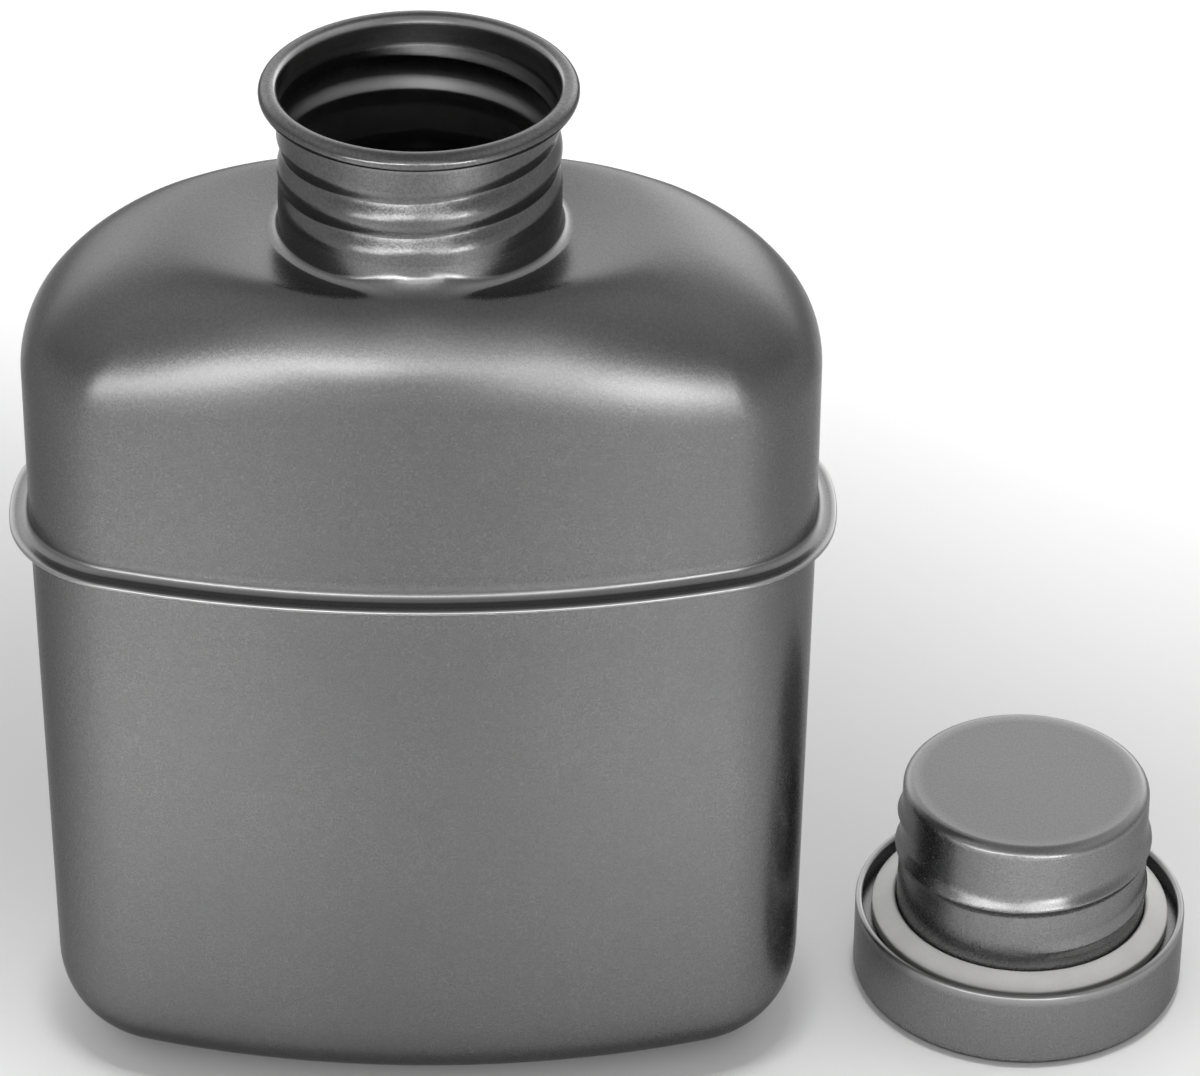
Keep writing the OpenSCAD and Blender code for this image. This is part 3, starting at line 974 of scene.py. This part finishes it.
@dataclass
class ScrewCap:
    """The loose cap, upside down: outer cup, threaded stopper and sealing ring."""

    place: tuple[float, float] = (110.5, 8.8)
    sheet: float = 0.5
    radius: float = 30.75
    height: float = 16.2
    edge: float = 2.5
    hem: float = 0.65
    seat: float = 13.0
    lip: float = 3.0
    plug_radius: float = 22.75
    plug_flare: float = 0.45
    plug_height: float = 43.3
    plug_edge: float = 2.0
    root: float = 18.5
    ring_radius: float = 27.7
    ring_gap: float = 0.1
    ring_inner: float = 16.9
    ring_outer: float = 15.4
    ring_round: float = 0.5
    ring_corner: float = 0.3
    ring_bed: float = 1.5
    thread: Thread = Thread(height=31.9, depth=0.85, start=-230, end=205, flank_up=2.6, flank_down=1.8)
    second: Thread = Thread(height=22.0, depth=0.425, start=-95, end=60, flank_up=2.6, flank_down=1.8)
    lip_wear: float = 0.35
    thread_wear: float = 0.06
    plug_edge_wear: float = 0.15
    hem_inner_start: float = 195.0
    hem_clear: float = 1.0
    thread_clear: float = 0.3
    inner_drops: tuple[float, float] = (0.5, 2.5)
    outer_drops: tuple[float, float] = (3.5, 1.5)
    facets: int = 224
    row: float = 0.25
    disc_steps: int = 8
    inner_disc_steps: int = 6
    top_steps: int = 10
    edge_steps: int = 12
    inner_edge_steps: int = 8
    plug_edge_steps: int = 14
    wall_steps: int = 8
    inner_wall_steps: int = 5
    hem_steps: int = 14
    seat_steps: int = 5
    ring_steps: int = 6

    def _angles(self) -> np.ndarray:
        """Angles of a ring, in degrees."""
        return np.arange(self.facets) * 360 / self.facets

    def _turn(self, skin: Skin, profile: Iterable[tuple[float, float]], wear_and_painted_light: float = 0.0) -> None:
        """Add a turned profile to a skin.

        Args:
            skin: The skin.
            profile: Radius and height of each ring.
            wear_and_painted_light: How much lighter it is coloured, here only by rubbing from handling.
        """
        angles = self._angles()
        for radius, height in profile:
            skin.add(turned_ring(radius, height, angles), wear_and_painted_light)

    def _wall(self, height: float) -> float:
        """Radius of the stopper's plain wall at a height."""
        edge = self.plug_height - self.plug_edge
        return self.plug_radius + self.plug_flare * (edge - height) / (edge - self.seat)

    def cup(self) -> bpy.types.Object:
        """The outer cup, standing on its top.

        Returns:
            The object.
        """
        skin = Skin("cap_cup")
        middle, hem_r, hem_z = self.radius - self.edge, self.radius - self.hem, self.height - self.hem
        inner = self.radius - self.sheet
        meet = -math.degrees(math.acos((inner - hem_r) / self.hem))
        base = turned_ring(middle, 0.0, self._angles())
        skin.add_disc(base, self.disc_steps, outward=True)
        self._turn(skin, arc((middle, self.edge), self.edge, -90, 0, self.edge_steps))
        self._turn(skin, line((self.radius, self.edge), (self.radius, hem_z), self.wall_steps))
        self._turn(skin, arc((hem_r, hem_z), self.hem, 0, 180, self.hem_steps), self.lip_wear)
        self._turn(skin, arc((hem_r, hem_z), self.hem, self.hem_inner_start, 360 + meet, self.hem_steps // 2))
        self._turn(skin, line((inner, hem_z - self.hem_clear), (inner, self.edge), self.inner_wall_steps))
        self._turn(skin, arc((middle, self.edge), self.edge - self.sheet, 0, -90, self.inner_edge_steps))
        skin.add_disc(turned_ring(middle, self.sheet, self._angles()), self.inner_disc_steps, outward=False)
        return skin.build(self.place)

    def stopper(self) -> bpy.types.Object:
        """The threaded stopper with its seat.

        Returns:
            The object.
        """
        skin = Skin("cap_stopper")
        angles = self._angles()
        edge_z, centre = self.plug_height - self.plug_edge, self.plug_radius - self.plug_edge
        under, wall = self.seat - self.sheet, self.radius - self.sheet
        heights = np.arange(self.root + self.thread_clear, edge_z, self.row)
        inner_bends = [self.root - drop for drop in self.inner_drops]
        outer_bends = [self.root - drop for drop in self.outer_drops]

        def threaded(height: float, inset: float) -> np.ndarray:
            """A ring of the stopper's wall with its threads."""
            swell = np.maximum(self.thread.at(angles, height), self.second.at(angles, height))
            swell = swell * clear_share(height, self.root, edge_z)
            return turned_ring(self._wall(height) - inset + swell, height, angles)

        inner_edge = self.plug_edge - self.sheet
        top_inside = turned_ring(centre, self.plug_height - self.sheet, angles)
        skin.add_disc(top_inside, self.disc_steps, outward=True)
        self._turn(skin, arc((centre, edge_z), inner_edge, 90, 0, self.inner_edge_steps))
        for height in reversed(heights):
            skin.add(threaded(float(height), self.sheet))
        self._turn(skin, [(self._wall(z) - self.sheet, z) for z in (*inner_bends, under)])
        self._turn(skin, [(wall - self.sheet, under), (wall - self.sheet, self.seat - self.lip)])
        self._turn(skin, [(wall, self.seat - self.lip), (wall, self.seat)])
        self._turn(skin, line((wall, self.seat), (self._wall(self.seat), self.seat), self.seat_steps))
        self._turn(skin, [(self._wall(z), z) for z in (self.seat, *outer_bends)])
        for height in heights:
            skin.add(threaded(float(height), 0.0), self.thread_wear)
        edge = arc((centre, edge_z), self.plug_edge, 0, 90, self.plug_edge_steps)
        self._turn(skin, edge, self.plug_edge_wear)
        skin.add_disc(turned_ring(centre, self.plug_height, angles), self.top_steps, outward=False)
        return skin.build(self.place)

    def ring(self) -> bpy.types.Object:
        """The silicone sealing ring.

        Returns:
            The object.
        """
        skin = Skin("silicone_ring", joined=True, sharp_degrees=60.0)
        inner, soft = self._wall(self.seat) + self.ring_gap, self.ring_round
        low = self.seat + self.ring_gap
        start = (inner + soft, self.ring_inner - soft)
        end = (self.ring_radius - soft, self.ring_outer - soft)
        slope = math.degrees(math.atan2(start[1] - end[1], end[0] - start[0]))
        outer, corner, bed = self.ring_radius, self.ring_corner, self.ring_bed
        self._turn(skin, [(inner, low), (inner + bed, low), (outer - corner, low), (outer, low + corner)])
        self._turn(skin, arc(end, soft, 0, 90 - slope, self.ring_steps))
        top_out = arc(end, soft, 90 - slope, 90 - slope, 1)[0]
        top_in = arc(start, soft, 90 - slope, 90 - slope, 1)[0]
        self._turn(skin, line(top_out, top_in, self.ring_steps))
        self._turn(skin, arc(start, soft, 90 - slope, 180, self.ring_steps + 1))
        return skin.build(self.place)


@dataclass(frozen=True)
class SoftBox:
    """A rectangular soft lamp that faces the object."""

    name: str
    azimuth: float
    elevation: float
    distance: float
    width: float
    height: float
    radiance: float
    aim_height: float = 0.09

    def make(self, middle: float) -> bpy.types.Object:
        """Make the lamp.

        Args:
            middle: X of the middle of the whole set.

        Returns:
            The lamp's object.
        """
        data = bpy.data.lights.new(self.name, "AREA")
        data.shape, data.size, data.size_y = "RECTANGLE", self.width, self.height
        data.energy = self.radiance * math.pi * self.width * self.height
        a, e = math.radians(self.azimuth), math.radians(self.elevation)
        back = Vector((math.sin(a) * math.cos(e), -math.cos(a) * math.cos(e), math.sin(e)))
        made = bpy.data.objects.new(self.name, data)
        made.location = Vector((middle, 0.0, self.aim_height)) + back * self.distance
        made.rotation_euler = (-back).to_track_quat("-Z", "Y").to_euler()
        made.visible_camera = False
        bpy.context.scene.collection.objects.link(made)
        return made


@dataclass(frozen=True)
class FloorSpot:
    """A soft round spot from above that lights a patch of the floor."""

    name: str
    x: float
    y: float
    power: float
    reach: float = 0.12
    height: float = 1.6
    softness: float = 0.1

    def make(self) -> bpy.types.Object:
        """Make the lamp.

        Returns:
            The lamp's object.
        """
        data = bpy.data.lights.new(self.name, "SPOT")
        data.energy, data.shadow_soft_size, data.spot_blend = self.power, self.softness, 1.0
        data.spot_size = 2 * math.atan(self.reach / self.height)
        made = bpy.data.objects.new(self.name, data)
        made.location = (self.x, self.y, self.height)
        made.visible_camera = made.visible_glossy = False
        bpy.context.scene.collection.objects.link(made)
        return made


@dataclass(frozen=True)
class SkyGlow:
    """A soft bright patch of the room, far from the object."""

    azimuth: float
    elevation: float
    radiance: float
    sharpness: float

    def at(self, graph: Graph, way: bpy.types.NodeSocket) -> Value:
        """Its share of the light that comes from a direction.

        Args:
            graph: The world's nodes.
            way: The direction.

        Returns:
            The radiance.
        """
        a, e = math.radians(self.azimuth), math.radians(self.elevation)
        middle = (math.sin(a) * math.cos(e), -math.cos(a) * math.cos(e), math.sin(e))
        nearness = graph.value(
            "ShaderNodeVectorMath", "Value", {"operation": "DOT_PRODUCT"}, {0: way, 1: middle}
        )
        return (nearness * 0.5 + 0.5) ** self.sharpness * self.radiance


@dataclass
class Studio:
    """The photograph's view, a pale floor, a dim room and soft lamps."""

    camera_place: tuple[float, float, float] = (0.0212138, -0.8193484, 0.6232644)
    camera_turn: tuple[float, float, float] = (57.513556, -0.399125, -0.370232)
    lens: float = 164.2918
    shift: float = 0.0049029
    room_light: float = 0.3
    floor_size: float = 12.0
    middle: float = 0.02
    glows: tuple[SkyGlow, ...] = (
        SkyGlow(0, 12, 0.55, 30),
        SkyGlow(-20, 12, 0.25, 30),
        SkyGlow(180, 12, 0.8, 30),
        SkyGlow(150, 12, 1.6, 30),
        SkyGlow(-150, 12, 1.25, 30),
        SkyGlow(165, 6, 1.0, 40),
        SkyGlow(180, 36, 0.45, 30),
        SkyGlow(60, 38, 0.3, 16),
        SkyGlow(-60, 38, 0.3, 16),
        SkyGlow(120, 38, 0.36, 16),
        SkyGlow(-120, 38, 0.28, 16),
    )
    lamps: tuple[SoftBox, ...] = (
        SoftBox("left_low_strip", -37.5, 0, 0.55, 0.288, 0.08, 4.0, 0.08),
        SoftBox("left_high_strip", -22.5, 0, 0.55, 0.288, 0.04, 6.5, 0.14),
        SoftBox("front_strip", 0, 0, 0.55, 0.43, 0.06, 3.4, 0.135),
        SoftBox("front_high_strip", 0, 0, 0.55, 0.43, 0.13, 0.6, 0.23),
        SoftBox("right_low_strip", 30, 0, 0.55, 0.144, 0.076, 4.8, 0.042),
        SoftBox("right_wide_strip", 22.5, 0, 0.55, 0.288, 0.116, 2.2, 0.062),
    )
    spots: tuple[FloorSpot, ...] = (
        FloorSpot("front_left_spot", -0.12, -0.13, 140),
        FloorSpot("front_right_spot", 0.12, -0.13, 132),
        FloorSpot("near_left_spot", -0.075, -0.085, 18, 0.07, softness=0.05),
        FloorSpot("near_right_spot", 0.075, -0.085, 18, 0.07, softness=0.05),
        FloorSpot("outer_right_spot", 0.28, -0.32, 120),
        FloorSpot("back_left_spot", -0.14, 0.36, 70, 0.24),
        FloorSpot("back_right_spot", 0.14, 0.36, 70, 0.24),
        FloorSpot("right_spot", 0.22, 0.16, 40, 0.2),
    )

    def camera(self) -> None:
        """Set the camera up as the photograph's."""
        data = bpy.data.cameras.new("camera")
        data.lens, data.shift_x = self.lens, self.shift
        data.clip_start, data.clip_end = 0.01, 100.0
        made = bpy.data.objects.new("camera", data)
        made.location = self.camera_place
        made.rotation_euler = [math.radians(a) for a in self.camera_turn]
        bpy.context.scene.collection.objects.link(made)
        bpy.context.scene.camera = made

    def floor(self) -> None:
        """Lay the floor."""
        half = self.floor_size / 2
        mesh = bpy.data.meshes.new("floor")
        corners = [(-half, -half, 0.0), (half, -half, 0.0), (half, half, 0.0), (-half, half, 0.0)]
        mesh.from_pydata(corners, [], [(0, 1, 2, 3)])
        mesh.materials.append(PaleFloor().make())
        made = bpy.data.objects.new("floor", mesh)
        bpy.context.scene.collection.objects.link(made)

    def room(self) -> None:
        """Light the room: an even dim light with soft brighter patches."""
        world = bpy.data.worlds.new("room")
        world.use_nodes = True
        graph = Graph(world.node_tree)
        way = graph.node("ShaderNodeTexCoord").outputs["Generated"]
        light: Number = self.room_light
        for glow in self.glows:
            light = glow.at(graph, way) + light
        back = graph.node("ShaderNodeBackground", {}, {"Color": grey(1.0), "Strength": light})
        graph.node("ShaderNodeOutputWorld", {}, {"Surface": back.outputs["Background"]})
        bpy.context.scene.world = world

    def build(self) -> None:
        """Make the whole studio."""
        self.camera()
        self.floor()
        self.room()
        for lamp in self.lamps:
            lamp.make(self.middle)
        for spot in self.spots:
            spot.make()
        bpy.context.scene.view_settings.view_transform = "Standard"


@dataclass(frozen=True)
class Piece:
    """One piece of the object: how it is made, what it stands for and what it rides on."""

    make: Callable[[], bpy.types.Object]
    node: str
    body: Body
    slot: Slot
    finish: bpy.types.Material

    def place(self) -> bpy.types.Object:
        """Make the piece, dress it and set it on its body.

        Returns:
            The piece.
        """
        made = self.make()
        made.data.materials.append(self.finish)
        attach(made, self.body.value)
        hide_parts(self.node)
        LOG.info("%s stands for %s: %d faces", made.name, self.node, len(made.data.polygons))
        return made


def main() -> None:
    """Load the frame, then build the studio and each piece."""
    logging.basicConfig(level=logging.INFO, format="%(name)s: %(message)s")
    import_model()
    Studio().build()
    body, neck, cap = PressedBody(), ThreadedNeck(), ScrewCap()
    shell_finish = BlastedTitanium("shell_titanium_blasted").make()
    neck_finish = BlastedTitanium(
        "neck_titanium_blasted", tone=0.16, tone_spread=0.03, roughness=0.23, grain_height_mm=0.018
    ).make()
    cap_finish = BlastedTitanium("cap_titanium_blasted", tone=0.22).make()
    silicone = MouldedSilicone().make()
    pieces = (
        Piece(body.upper, "upper_shell", Body.BOTTLE, Slot.BODY, shell_finish),
        Piece(body.lower, "lower_shell", Body.BOTTLE, Slot.BODY, shell_finish),
        Piece(neck.build, "neck", Body.BOTTLE, Slot.BODY, neck_finish),
        Piece(cap.cup, "cap_shell", Body.CAP, Slot.CAP, cap_finish),
        Piece(cap.stopper, "cap_plug", Body.CAP, Slot.CAP, cap_finish),
        Piece(cap.ring, "sealing_ring", Body.SEAL, Slot.SEAL, silicone),
    )
    for piece in pieces:
        piece.place()


if __name__ == "__main__":
    main()
